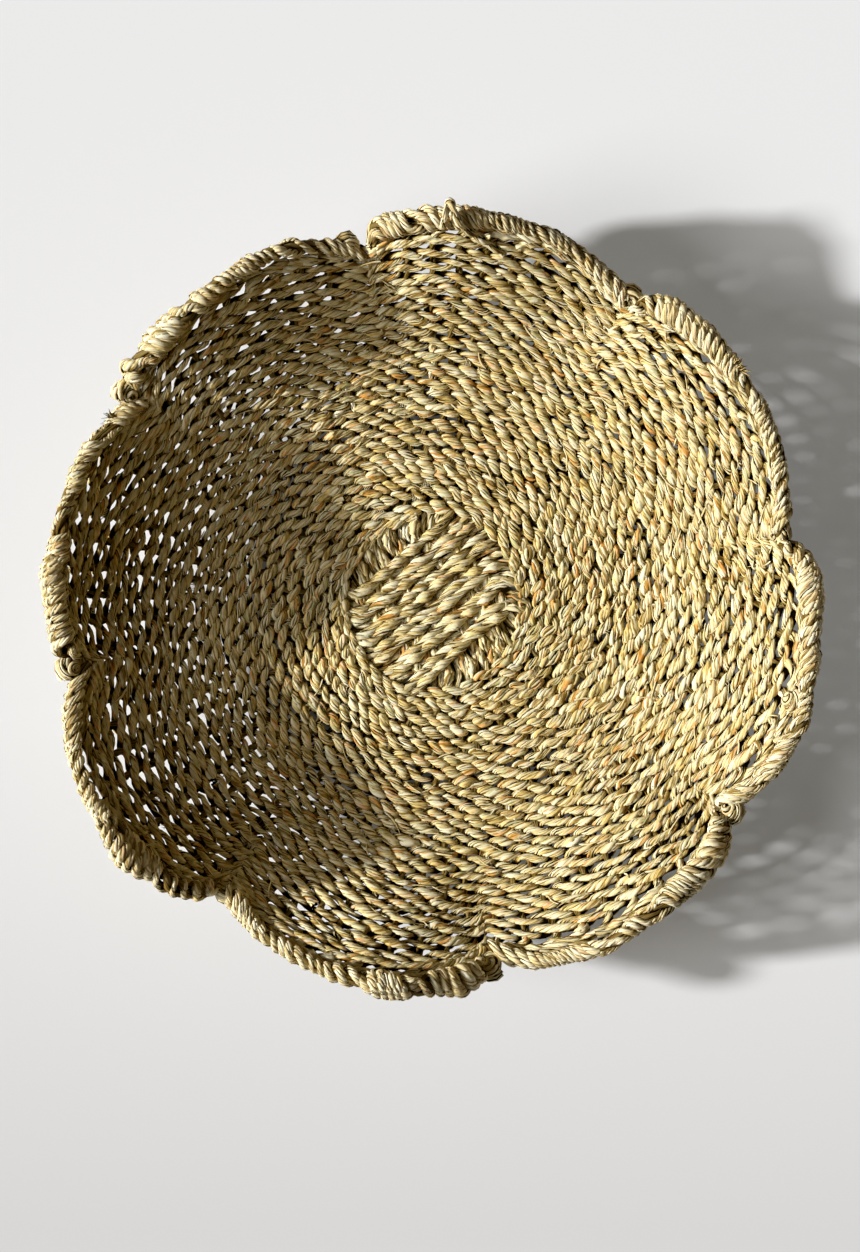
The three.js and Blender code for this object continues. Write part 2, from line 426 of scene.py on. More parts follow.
# A guide is a list of lines, and a line is a list of guide points.
def guideMesh(name, lines):
    points = [point for line in lines for point in line]
    edges = []
    first = 0
    for line in lines:
        edges += [(first + i, first + i + 1) for i in range(len(line) - 1)]
        first += len(line)
    mesh = bpy.data.meshes.new(name)
    mesh.from_pydata([point["place"] for point in points], edges, [])
    for key in ("phase", "gauge", "travel", "paintedShade"):
        layer = mesh.attributes.new(key, "FLOAT", "POINT")
        layer.data.foreach_set("value", [point[key] for point in points])
    for key in ("across", "facing"):
        layer = mesh.attributes.new(key, "FLOAT_VECTOR", "POINT")
        layer.data.foreach_set("vector", [value for point in points for value in point[key]])
    return mesh


def twinePiece(name, lines, settings, seed, material, slot, *nodes):
    piece = placed(name, guideMesh(name + "_guide", lines))
    modifier = piece.modifiers.new("Twine", "NODES")
    modifier.node_group = twineTree
    values = dict(settings, Seed=seed, Material=material)
    for item in twineTree.interface.items_tree:
        if item.in_out == "INPUT" and item.name in values:
            modifier[item.identifier] = values[item.name]
    graph = bpy.context.evaluated_depsgraph_get()
    evaluated = piece.evaluated_get(graph)
    made = bpy.data.meshes.new_from_object(evaluated, preserve_all_data_layers=True, depsgraph=graph)
    made.name = name
    piece.modifiers.clear()
    guide = piece.data
    piece.data = made
    bpy.data.meshes.remove(guide)
    for key in ("phase", "gauge", "travel", "across", "facing"):
        if key in made.attributes:
            made.attributes.remove(made.attributes[key])
    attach(piece, "root")
    if nodes:
        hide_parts(*nodes)
    return piece


dryGrass = {
    "Straw": (0.80, 0.59, 0.20, 1),
    "Pale": (0.88, 0.79, 0.52, 1),
    "Green": (0.50, 0.51, 0.23, 1),
    "Orange": (0.78, 0.34, 0.06, 1),
    # the darkest colour of the painted crease shade, added to every colour
    "Crevice": (0.005, 0.0025, 0.0005, 1),
    # dark fibres: partly the grass's own, partly painted shade in the fine creases between them
    "Husk": (0.25, 0.15, 0.03, 1),
    # bright fibres: partly their own paleness, partly a painted sheen in place of gloss
    "Gleam": (0.93, 0.89, 0.68, 1),
    "Green Share": 0.8,
    "Orange Share": 0.85,
    "Fibre Width": 0.85,
    # Dark Depth to Light Depth: mm from a guide's middle over which the painted crease shade fades out
    "Dark Depth": 1.1,
    "Light Depth": 2.1,
}
# Where each tone comes in along its noise, and how the noise lies: along the blade, then across it, per mm.
grass = {
    "slowPatches": (0.03, 0.1, 0.1),
    "paleFrom": (0.42, 0.62),
    "quickPatches": (0.12, 0.35, 0.35),
    "greenFrom": (0.5, 0.66),
    "orangePatches": (0.045, 0.2, 0.2),
    "orangeShift": (31.0, 17.0, 5.0),
    "orangeFrom": (0.58, 0.625),
    "fibreStretch": 0.09,
    "darkFibreAndShadeFrom": (0.38, 0.47),  # below it a fibre is dark: partly the grass's own dark fibres, partly painted shade in the fine creases between them
    "gleamFrom": (0.51, 0.62),  # above it a fibre is bright: partly its own paleness, partly a painted sheen
    "gleamShare": 0.75,
    "toneStep": 400.0,  # mm of noise between one blade and another
    "creaseShadeFrom": (0.21, 0.47),  # of the openness, from black to plain, for the painted crease shade
    "creaseShadeFall": {"X": 1.5, "Y": 1.75, "Z": 2.5},  # how fast red, green and blue go dark in the painted crease shade
    "fibreRange": (0.3, 0.7),
    "roughness": (0.75, 0.55),
}


def buildGrassGroup():
    outputs = {"Color": "Color", "Roughness": "Float", "Height": "Float"}
    group, given = openGroup("Dry grass", "ShaderNodeTree", dryGrass, **outputs)

    def attribute(name, output="Fac"):
        return addNode(group, "ShaderNodeAttribute", attribute_name=name).outputs[output]

    def times(first, second):
        return maths(group, "MULTIPLY", first, second)

    def ramp(value, name):
        return ranged(group, value, *grass[name])

    toneShift = combined(group, X=times(attribute("tone"), grass["toneStep"]))
    spot = vectors(group, "ADD", attribute("grain", "Vector"), toneShift)

    def patches(size, shift=(0.0, 0.0, 0.0), **inputs):
        spread = vectors(group, "ADD", vectors(group, "MULTIPLY", spot, size), shift)
        inputs = {"Vector": spread, "Scale": 1.0, **inputs}
        return addNode(group, "ShaderNodeTexNoise", inputs).outputs["Fac"]

    # colour that changes along a blade, and from one blade of grass to the next
    slow = patches(grass["slowPatches"], Detail=2.0)
    quick = patches(grass["quickPatches"], Detail=3.0)
    accent = patches(grass["orangePatches"], grass["orangeShift"], Detail=2.0)
    colour = colourMix(group, ramp(slow, "paleFrom"), given["Straw"], given["Pale"])
    green = times(ramp(quick, "greenFrom"), given["Green Share"])
    colour = colourMix(group, green, colour, given["Green"])
    orange = times(ramp(accent, "orangeFrom"), given["Orange Share"])
    colour = colourMix(group, orange, colour, given["Orange"])

    # fine fibres, the dark ones partly painted shade in the creases between them
    width = maths(group, "DIVIDE", 1.0, given["Fibre Width"])
    fibre = patches(combined(group, X=grass["fibreStretch"], Y=width, Z=width), Detail=3.0, Roughness=0.6)
    colour = colourMix(group, ramp(fibre, "darkFibreAndShadeFrom"), given["Husk"], colour)
    # a painted sheen on the bright fibres, along with their own paleness
    gleam = times(ramp(fibre, "gleamFrom"), grass["gleamShare"])
    colour = colourMix(group, gleam, colour, given["Gleam"])

    # painted shade in the creases between the blades, the stitches and the layers, and on parts that lie
    # covered
    creaseShade = ramp(attribute("open"), "creaseShadeFrom")
    creaseShade = times(creaseShade, ranged(group, attribute("depth"), given["Dark Depth"], given["Light Depth"]))
    creaseShade = times(creaseShade, maths(group, "SUBTRACT", 1.0, attribute("paintedShade")))
    falls = {axis: maths(group, "POWER", creaseShade, power) for axis, power in grass["creaseShadeFall"].items()}
    colour = vectors(group, "MULTIPLY", colour, combined(group, **falls))
    colour = vectors(group, "ADD", colour, given["Crevice"])

    roughness = ranged(group, fibre, *grass["fibreRange"], *grass["roughness"])
    addNode(group, "NodeGroupOutput", {"Color": colour, "Roughness": roughness, "Height": fibre})
    return group


grassGroup = buildGrassGroup()


def principled(name):
    material = bpy.data.materials.new(name)
    material.use_nodes = True
    return material, material.node_tree, material.node_tree.nodes["Principled BSDF"]


def grassMaterial(name, values, bump=0.6):
    material, tree, shader = principled(name)
    grown = addNode(tree, "ShaderNodeGroup", values, node_tree=grassGroup).outputs
    inputs = {"Height": grown["Height"], "Strength": bump, "Distance": 0.4 * mm}
    normal = addNode(tree, "ShaderNodeBump", inputs).outputs["Normal"]
    inputs = {"Base Color": grown["Color"], "Roughness": grown["Roughness"], "Normal": normal}
    feed(tree, shader, {**inputs, "Specular IOR Level": 0.0})
    return material


weftGrass = grassMaterial("Weft grass", {})
stakeTones = {"Straw": (0.87, 0.69, 0.29, 1), "Pale": (0.93, 0.86, 0.61, 1), "Green Share": 0.35}
stakeGrass = grassMaterial("Stake grass", {**stakeTones, "Dark Depth": 0.1, "Light Depth": 1.3})
rimTones = {"Straw": (0.79, 0.62, 0.29, 1), "Pale": (0.87, 0.79, 0.56, 1)}
paler = {**rimTones, "Dark Depth": -2.0, "Light Depth": -1.0}  # no painted shade in it comes from its depth alone
rimGrass = grassMaterial("Rim grass", {**paler, "Orange Share": 0.35, "Green Share": 0.35}, 0.8)
looseGrass = grassMaterial("Loose grass", {**paler, "Green Share": 0.3})


weft = {
    "stitchesPerStake": (0.5, 1.0, 1.25),  # where they span two stakes, where one, and past addedRows
    "pairedRows": 1.375,  # turns whose stitches span two stakes
    "mixedRows": 3.25,  # from there to here some span two and some one
    "addedRows": 9.5,  # from there on, one more stake stands in every four
    "samplesPerStitch": 6,
    "strandLength": 1.15,  # of the length of its row
    "tightness": 0.14,  # of the gauge, gained from the loosely woven side at 180 degrees to the other
    # drifts: how far, and waves to a round
    "rowDrift": (0.7, 9),  # mm by which rows stray from their places
    "sharedDrift": (1.0, 45),  # the same for rows that lie side by side, with waves to a metre
    "stitchDrift": (0.3, 40),  # of a stitch
    "gaugeDrift": (0.2, 30),
    "grainDrift": (0.22, 95),  # of the gauge, from one stitch to the next
    "acrossDrift": (0.4, 23),
    "facingDrift": (0.4, 27),
    "tuckedTurn": 0.25,
    "lengths": 6,
    "joinStagger": 0.5,
    "twine": {
        "Strands": 1,
        "Across": 1.95 * mm,
        "Depth": 1.75 * mm,
        "Crossing Lift": 0.85,
        "Blades": 6,
        "Blade Width": 1.8 * mm,
        "Blade Thickness": 0.9 * mm,
        "Bundle Radius": 1.1 * mm,
        "Bundle Twist": 0.045,
        "Unevenness": 0.8,
        "Wander": 0.35 * mm,
        "Spindle": 0.27,
        "Broadness": 0.34,
        "Face Light": 0.8,
    },
}


def stitchStep(stake):
    turn = stake / stakeEnds
    paired, plain, closer = weft["stitchesPerStake"]
    if turn < weft["pairedRows"] or (turn < weft["mixedRows"] and (stake // 2) % 2 == 0):
        return paired
    return plain if turn < weft["addedRows"] else closer


# Half turns of the twined pair at each stake boundary. Stakes lie at whole numbers, crossings between them.
stitchCounts = {}
stitchCount = 0.5
for stake in range(0, (rowCount + 1) * stakeEnds + 1):
    stitchCounts[stake] = stitchCount
    stitchCount += stitchStep(stake)


def weftPoint(turn, phase, seed):
    lower = clamp(turn - 1, 0, rowCount)
    upper = clamp(turn, 0, rowCount)
    point, facing, climbing = bowlFrame((lower + upper) / 2, 0, turn * petalCount)
    far, waves = weft["sharedDrift"]
    shared = far * wave(1, *(point * waves))
    own = stray(weft["rowDrift"], 2, turn, math.floor(turn) * 3.7)
    tight = weft["tightness"] * (1 + point.x / point.length) / 2
    tight += stray(weft["grainDrift"], 90 + seed, turn, 0.6)
    place = point + climbing * ((own + shared) * mm)
    across = climbing * ((upper - lower) * (1 + stray(weft["acrossDrift"], 30 + seed, turn, 0.8)))
    facing = facing * (1 + stray(weft["facingDrift"], 60 + seed, turn, 0.1))
    gauge = 1 + tight + stray(weft["gaugeDrift"], 4 + seed, turn, 0.3)
    return guidePoint(place, across, facing, 0.0, gauge, phase + stray(weft["stitchDrift"], 3, turn, 0.5))


def weftLine(fromTurn, toTurn, seed):
    line = []
    travel = 0
    stake = math.floor(fromTurn * stakeEnds)
    while stake < toTurn * stakeEnds:
        step = stitchStep(stake)
        samples = math.ceil(weft["samplesPerStitch"] * step)
        for i in range(samples):
            turn = (stake + i / samples) / stakeEnds
            if fromTurn <= turn <= toTurn:
                point = weftPoint(turn, stitchCounts[stake] + step * i / samples, seed)
                if line:
                    travel += (point["place"] - line[-1]["place"]).length / mm * weft["strandLength"]
                point["travel"] = travel
                line.append(point)
        stake += 1
    return line


start, *middle, end = spaced(weft["tuckedTurn"], rowCount + 1 - weft["tuckedTurn"], weft["lengths"])
weavers = [
    ("inner_weaver", "inner_weave", weft["joinStagger"], 0.0, 0),
    ("outer_weaver", "outer_weave", 0.0, 1.0, 20),
]
for name, slot, stagger, shift, firstSeed in weavers:
    joins = [start] + [join + stagger for join in middle] + [end]
    for i in range(weft["lengths"]):
        line = weftLine(joins[i], joins[i + 1], firstSeed + i)
        twine = dict(weft["twine"], Shift=shift)
        pieceName, seed = f"{name}_strand_{i + 1}", firstSeed + i + 1
        piece = twinePiece(pieceName, [line], twine, seed, weftGrass, slot, f"{name}_{i + 1}")
print("weft twined:", len(piece.data.polygons), "faces in the last length")


stakes = {
    "padStep": 1.9,  # mm between points in the pad
    "wallStep": 3.4,
    "padRows": 4,  # up to this row the pad's step holds
    "lay": -12.6,  # mm for half a turn of the two plies, to the left
    "pairPull": 0.16,  # of the spacing, towards the other stake of a pair
    "pairFrom": 2.5,  # rows over which the pull sets in
    "padDrift": 1.2,
    "padGauges": [1.32, 1.22, 0.75],  # repeated over the cords of the pad
    "padRises": [0.7, 0.2, -1.9],  # mm
    # painted shade on a stake where the weave covers it: the share by which its colour is darkened
    "paintedShade": 0.6,
    "coverFrom": (-2, 6),  # mm past the pad's edge, where the weave begins to cover a stake and hides it
    "wallGauge": 0.78,
    "partings": (-0.1, -0.3, 0.3, 0.1),  # of the spacing, to make room for one more in every four
    "partingRows": 1.5,
    "addedBelow": 0.6,  # rows
    "addedDrift": (0.5, 1.7),  # rows, and waves from one added stake to the next
    "endLean": 1.4,  # stake spacings by which the ends lean into the roll
    "endCurve": 1.6,
    "endPoints": 7,
    "endReach": 3.0,  # mm by which they go into the roll
    "twine": {
        "Strands": 2,
        "Across": 0.85 * mm,
        "Depth": 1.1 * mm,
        "Blades": 5,
        "Blade Width": 1.7 * mm,
        "Blade Thickness": 0.9 * mm,
        "Bundle Radius": 0.85 * mm,
        "Bundle Twist": -0.03,
        "Unevenness": 0.6,
        "Spindle": 0.65,
        "Broadness": 0.15,
        "Face Light": 0.5,
    },
}
# How a cord strays of itself. Waves are to a mm.
cord = {
    "swayWaves": 0.05,
    "liftWaves": 0.07,
    "liftShare": 0.5,  # of the sway
    "turnDrift": (0.6, 0.03),
    "swell": (0.12, 0.06),
}


def turned(x, y, heading):
    cosine, sine = cos(heading), sin(heading)
    return Vector((x * cosine - y * sine, x * sine + y * cosine, 0))


def stakeShift(slot, row):
    addedRow, rows = weft["addedRows"], stakes["partingRows"]
    return stakes["partings"][slot % 4] * blendShare(row, addedRow - rows, addedRow + rows)


# Past the last row a stake's end bends over and runs beside its neighbours into the roll.
def leaningEnd(place):
    route = []
    for share in spaced(0, 1, stakes["endPoints"])[1:]:
        leaned = place - stakes["endLean"] / stakesPerPetal * share ** stakes["endCurve"]
        seat = bowl["rollSeat"] + bowl["rollArch"] * sin(pi * (leaned % 1)) + stakes["endReach"]
        route.append(bowlFrame(rowCount, seat * share, leaned)[:2])
    return route


def wallRoute(row, placeAt):
    route = []
    while row < rowCount:
        route.append(bowlFrame(row, 0, placeAt(row))[:2])
        row += (stakes["padStep"] if row < stakes["padRows"] else stakes["wallStep"]) / bowl["baseRowPitch"]
    return route


# Half of a stake's middle line, from the centre of the pad to the rim: points with their facing direction.
def stakeHalf(slot, sidestep, heading, lift, rise):
    place = (slot + 0.5) / stakesPerPetal
    side = 1 if slot % 2 == 0 else -1
    crossingEdge = padHalf + bowl["sideGap"]
    bendX = sqrt((padRadius - bowl["layerGap"]) ** 2 - (abs(sidestep) + bowl["stakeWidth"] / 2) ** 2)
    upward = Vector((0, 0, 1))

    def pulledPlace(row):
        pull = stakes["pairPull"] * (1 - blendShare(row, weft["pairedRows"] - 0.5, weft["mixedRows"] + 1))
        pull = side * pull * blendShare(row, 0, stakes["pairFrom"]) + stakeShift(slot, row)
        return place + pull / stakesPerPetal

    steps = max(1, round(crossingEdge / stakes["padStep"]))
    marks = [(crossingEdge * (i + 0.5) / steps, stakeLevel + lift + rise) for i in range(steps)]
    steps = max(1, round((bendX - crossingEdge) / stakes["padStep"]))
    for share in spaced(0, 1, steps)[1:-1]:
        level = stakeLevel + (lift + rise) * (1 - blendShare(share, 0, 1))
        marks.append((crossingEdge + (bendX - crossingEdge) * share, level))
    route = [((turned(x, sidestep, heading) + upward * level) * mm, upward) for x, level in marks]
    route += wallRoute(bowl["fanLength"] / bowl["baseRowPitch"], pulledPlace)
    return route + leaningEnd(place + stakeShift(slot, rowCount) / stakesPerPetal)


def smoothed(route, passes=3):
    for _ in range(passes):
        middle = []
        for three in zip(route, route[1:], route[2:]):
            middle.append(tuple((before + here * 2 + after) / 4 for before, here, after in zip(*three)))
        route = [route[0]] + middle + [route[-1]]
    return route


# A covered cord is thinner where the weave covers it, and gets painted shade there.
def cordLine(route, seed, lay, gauge=1.0, drift=0.0, coveredAndShaded=False):
    line = []
    travel = 0
    bareEnd = stakes["endPoints"]
    coverStart, coverEnd = (padRadius + past for past in stakes["coverFrom"])
    for i, (point, facing) in enumerate(route):
        before = route[max(i - 1, 0)][0]
        after = route[min(i + 1, len(route) - 1)][0]
        if i:
            travel += (point - before).length / mm
        along = (after - before).normalized()
        facing = (facing - along * facing.dot(along)).normalized()
        across = facing.cross(along)
        sway = across * stray((drift * mm, cord["swayWaves"]), seed, travel, 0.7)
        sway += facing * stray((cord["liftShare"] * drift * mm, cord["liftWaves"]), seed + 9, travel, 0.4)
        covered = 0.0
        if coveredAndShaded and bareEnd < i < len(route) - 1 - bareEnd:
            covered = blendShare(math.hypot(point.x, point.y) / mm, coverStart, coverEnd)
        thickness = gauge + (stakes["wallGauge"] - gauge) * covered
        thickness *= 1 + stray(cord["swell"], seed + 5, travel, 0.2)
        phase = travel / lay + stray(cord["turnDrift"], seed + 3, travel, 1.2)
        # painted shade where the weave covers the stake
        paintedShade = covered * stakes["paintedShade"]
        line.append(guidePoint(point + sway, across, facing, travel, thickness, phase, paintedShade))
    return line


upperHeading = radians(bowl["padTurn"] + bowl["padLean"])
padSlots = (bowl["padTurn"] - bowl["notchAngles"][0]) / (360 / stakeEnds)
upperSlot = round(padSlots) - groupSize // 2
lowerSlot = upperSlot + groupSize
stakeGroups = [
    ("upper_stake", upperSlot, upperHeading, crossingLift, 0),
    ("lower_stake", lowerSlot, upperHeading + pi / 2, -crossingLift, 40),
]
for name, firstSlot, heading, lift, firstSeed in stakeGroups:
    for i in range(groupSize):
        seed = firstSeed + i
        sidestep = (i - (groupSize - 1) / 2) * stakePitch
        opposite = firstSlot + stakeEnds // 2 + groupSize - 1 - i
        rise = stakes["padRises"][i % 3]
        ahead = stakeHalf(firstSlot + i, sidestep, heading, lift, rise)
        behind = stakeHalf(opposite, -sidestep, heading + pi, lift, rise)
        route = smoothed(behind[::-1] + ahead)
        line = cordLine(route, seed, stakes["lay"], stakes["padGauges"][i % 3], stakes["padDrift"], True)
        node, twine = f"{name}_{i + 1}", stakes["twine"]
        piece = twinePiece(f"{name}_cord_{i + 1}", [line], twine, 100 + seed, stakeGrass, "stake_cord", node)

# The added stakes stand between the middle two of every four, from about the same row.
added = []
for i in range(stakeEnds // 4):
    place = (4 * i + 2) / stakesPerPetal
    row = weft["addedRows"] - stakes["addedBelow"] + stray(stakes["addedDrift"], 70, i)
    route = wallRoute(row, lambda _: place) + leaningEnd(place)
    added.append(cordLine(route, 70 + i, stakes["lay"], coveredAndShaded=True))
twinePiece("added_stake_cords", added, stakes["twine"], 170, stakeGrass, "stake_cord")
print("stakes laid:", len(piece.data.polygons), "faces in the last cord")


rim = {
    # shares are of a roll's petal
    "thickening": (0.4, 0.8),  # where a roll grows from thin to thick
    "startSwell": 0.6,
    "startFade": (0.06, 0.2),  # where that swell goes
    "tip": 0.03,  # over which the thick end is rounded
    "tipEnd": 0.975,
    "tipRounding": 0.98,
    "rollDrift": (1.3, 8),  # mm by which a roll strays to either side, and waves to a petal
    "bulgeStart": 0.84,  # from where the roll swells outwards
    "bulge": [-2, 5, 8, 3, -5, 2.6, -5, -6],  # mm, for each roll
    "endDip": 0.5,
    "endDipShare": 0.1,
    "endReach": [0.5, 1.5, 5, 0, 5, -0.5, 4.2, 5.5],  # mm by which a thin end keeps out
    "endReachShare": 0.62,
    "endReachCurve": 0.7,
    "lumps": [(4, 0.52, 0.78, 8), (3, 0.6, 0.8, 3), (5, 0.55, 0.75, 3)],  # roll, start, end, mm outwards
    "lumpRadius": 4.6,
    "wrapStart": 0.01,
    "wrapMeasures": 300,
    "wrapPitch": 15,  # mm along the roll for a whole turn of a wrap
    "pointsPerTurn": 16,
    "wrapInset": (1.6, 0.3),  # mm from the roll's surface to a strand's middle, and the least radius left
    "wrapGauge": (0.85, 0.25),  # at the thin end, and what is added by the thick end
    "wrapRadius": 5,  # mm, for the run of the grain
    # drifts: how far, and waves to a turn
    "wrapReach": (0.28, 0.8),
    "wrapSwell": (0.4, 0.9),
    "wrapSlip": (1.1, 0.7),
    "slowSlip": (1.3, 0.3),
    "coarseRolls": [2, 3, 4, 5],
    "coarsePitch": 11.5,
    "coarseWrap": {"Strands": 2, "Blades": 6, "Blade Width": 2.3 * mm, "Bundle Radius": 1.75 * mm},
    "wrap": {
        "Blades": 5,
        "Blade Width": 2.2 * mm,
        "Blade Thickness": 1.1 * mm,
        "Bundle Radius": 1.4 * mm,
        "Bundle Twist": 0.03,
        "Unevenness": 0.6,
        "Wander": 0.45 * mm,
    },
    "corePoints": 44,
    "coreLay": 16,
    "coreInset": (2.6, 0.4),
    # painted shade on the core, where it lies under the wraps
    "corePaintedShade": 0.6,
    "core": {"Blade Width": 3.4 * mm, "Blade Thickness": 1.6 * mm, "Bundle Radius": 1.0 * mm},
    "swirls": [(262, 9), (345, 7)],  # angle, and mm past the last row
    "swirlLift": 2.5,
    "curlOut": [-4, 1.5, 4, 7, 7, -3, 6, 4],  # mm, for each notch
    "curlAlong": [0, 0, 8, 2, 2, 0, 0, 0],
    "curlPoints": 40,
    "curlStart": 0.9,  # radians
    "curlTurns": 1.8,
    "curlReach": 4.8,
    "curlClosing": 0.8,
    "curlWobble": (0.35, 4),  # of its reach, and waves to a curl
    "curlRise": (2.6, 1.5, 1.4),  # mm in all, its curve, and mm below at the start
    "curlLift": (1.5, 3),
    "curlLay": 12.0,
    "ringUnder": (2.5, 15.0, 1.3),  # the second ring of a curl: mm below the first, lay and gauge
    "curl": {
        "Across": 1.5 * mm,
        "Depth": 1.5 * mm,
        "Blade Thickness": 1.2 * mm,
        "Bundle Radius": 0.8 * mm,
        "Wander": 0.25 * mm,
        "Spindle": 0.1,
    },
}


def placeAtAngle(angle):
    for index in range(petalCount):
        start, end = notchAngle(index), notchAngle(index + 1)
        inside = (angle - start) % 360
        if inside < end - start:
            return index + inside / (end - start)


def rollRadius(share):
    thin, thick = bowl["rollThinRadius"], bowl["rollThickRadius"]
    rounded = clamp((share - rim["tipEnd"]) / rim["tip"] + 1, 0, rim["tipRounding"])
    start = rim["startSwell"] * (1 - blendShare(share, *rim["startFade"]))
    full = thin + start + (thick - thin) * blendShare(share, *rim["thickening"])
    return full * sqrt(1 - rounded ** 2)


def rollPoint(petal, share):
    radius = rollRadius(share)
    arch = bowl["rollArch"] * sin(pi * clamp(share, 0, 1))
    keptOut = sin(pi * clamp(share / rim["endReachShare"], 0, 1)) ** rim["endReachCurve"]
    past = bowl["rollSeat"] + bowl["endGap"] + arch + radius
    past += rim["bulge"][petal] * blendShare(share, rim["bulgeStart"], 1)
    past -= rim["endDip"] * (1 - blendShare(share, 0, rim["endDipShare"]))
    past += rim["endReach"][petal] * keptOut
    past += stray(rim["rollDrift"], petal + 75, share)
    return (*bowlFrame(rowCount, past, petal + share), radius)


# A coil of wraps beside the roll, where a new length was begun.
def lumpPoint(petal, share, start, end, out):
    swell = sqrt(max(sin(pi * (share - start) / (end - start)), 0))
    point, facing, climbing, _ = rollPoint(petal, share)
    return point + climbing * (out * swell * mm), facing, climbing, rim["lumpRadius"] * (0.5 + 0.5 * swell)


def wrapLine(petal, start, end, pointAt):
    route = [pointAt(share)[0] for share in spaced(start, end, rim["wrapMeasures"])]
    length = sum((after - before).length for before, after in zip(route, route[1:])) / mm
    pitch = rim["coarsePitch"] if petal in rim["coarseRolls"] else rim["wrapPitch"]
    points = round(length / pitch * rim["pointsPerTurn"])
    inset, least = rim["wrapInset"]
    thin, added = rim["wrapGauge"]
    line = []
    for i, share in enumerate(spaced(start, end, points)):
        point, facing, climbing, radius = pointAt(share)
        turns = length / pitch * i / points
        phase = 2 * turns + stray(rim["wrapSlip"], petal + 60, turns)
        phase += stray(rim["slowSlip"], petal + 65, turns)
        reach = max(radius - inset, least) * (1 + stray(rim["wrapReach"], petal + 50, turns)) * mm
        gauge = thin + added * blendShare(share, *rim["thickening"])
        gauge *= 1 + stray(rim["wrapSwell"], petal + 40, turns)
        travel = turns * (2 * pi * rim["wrapRadius"])
        line.append(guidePoint(point, climbing * reach, facing * reach, travel, gauge, phase))
    return line


# The bundle that the wraps go round: the last of the stake ends, laid along the rim.
def coreLine(petal):
    inset, least = rim["coreInset"]
    line = []
    travel = 0
    for share in spaced(0, rim["tipEnd"], rim["corePoints"]):
        point, facing, climbing, radius = rollPoint(petal, share)
        if line:
            travel += (point - line[-1]["place"]).length / mm
        reach = max(radius - inset, least) * mm
        phase = travel / rim["coreLay"]
        across, inwards = climbing * reach, facing * reach
        # the core gets painted shade, as it lies under the wraps
        line.append(guidePoint(point, across, inwards, travel, 1.0, phase, rim["corePaintedShade"]))
    return line


def swirl(middle, facing, climbing, seed):
    along = facing.cross(climbing)
    rise, curve, below = rim["curlRise"]
    drop, underLay, underGauge = rim["ringUnder"]
    route = []
    for share in spaced(0, 1, rim["curlPoints"]):
        turn = 2 * pi * rim["curlTurns"] * share - rim["curlStart"]
        reach = rim["curlReach"] * (1 - share) ** rim["curlClosing"]
        reach *= 1 + stray(rim["curlWobble"], seed + 120, share)
        lift = rise * share ** curve - below + stray(rim["curlLift"], seed + 140, share)
        spot = climbing * (cos(turn) * reach) - along * (sin(turn) * reach) + facing * lift
        route.append((middle + spot * mm, facing))
    ring = cordLine(route, 80 + seed, rim["curlLay"])
    under = [(point - facing * (drop * mm), facing) for point, facing in route[::2]]
    return [ring, cordLine(under, 90 + seed, underLay, underGauge)]


# At a notch the thin end of a roll hooks in and curls up on itself.
def curlLine(petal):
    low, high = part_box(f"rim_knot_{petal + 1}")
    _, facing, climbing = bowlFrame(rowCount, 0, petal)
    along = facing.cross(climbing)
    middle = (Vector(low) + Vector(high)) / 2
    middle += (climbing * rim["curlOut"][petal] + along * rim["curlAlong"][petal]) * mm
    return swirl(middle, facing, climbing, petal)


for petal in range(petalCount):
    number = petal + 1
    coarse = rim["coarseWrap"] if petal in rim["coarseRolls"] else {}
    wrap = {**rim["wrap"], **coarse}
    lines = [wrapLine(petal, rim["wrapStart"], rim["tipEnd"], lambda share: rollPoint(petal, share))]
    for lumpPetal, start, end, out in rim["lumps"]:
        if lumpPetal == petal:
            lines.append(wrapLine(petal, start, end, lambda share: lumpPoint(petal, share, start, end, out)))
    twinePiece(f"rim_wrap_{number}", lines, wrap, 200 + petal, rimGrass, "rim_wrap", f"rim_roll_{number}")
    twinePiece(f"rim_core_{number}", [coreLine(petal)], rim["core"], 220 + petal, rimGrass, "rim_wrap")
    lines, curl = curlLine(petal), rim["curl"]
    twinePiece(f"rim_curl_{number}", lines, curl, 240 + petal, rimGrass, "rim_wrap", f"rim_knot_{number}")
swirls = []
for i, (angle, reach) in enumerate(rim["swirls"]):
    point, facing, climbing = bowlFrame(rowCount, reach, placeAtAngle(angle))
    swirls += swirl(point + facing * (rim["swirlLift"] * mm), facing, climbing, 20 + i)
twinePiece("rim_swirls", swirls, rim["curl"], 260, rimGrass, "rim_wrap")
print("rim wrapped")


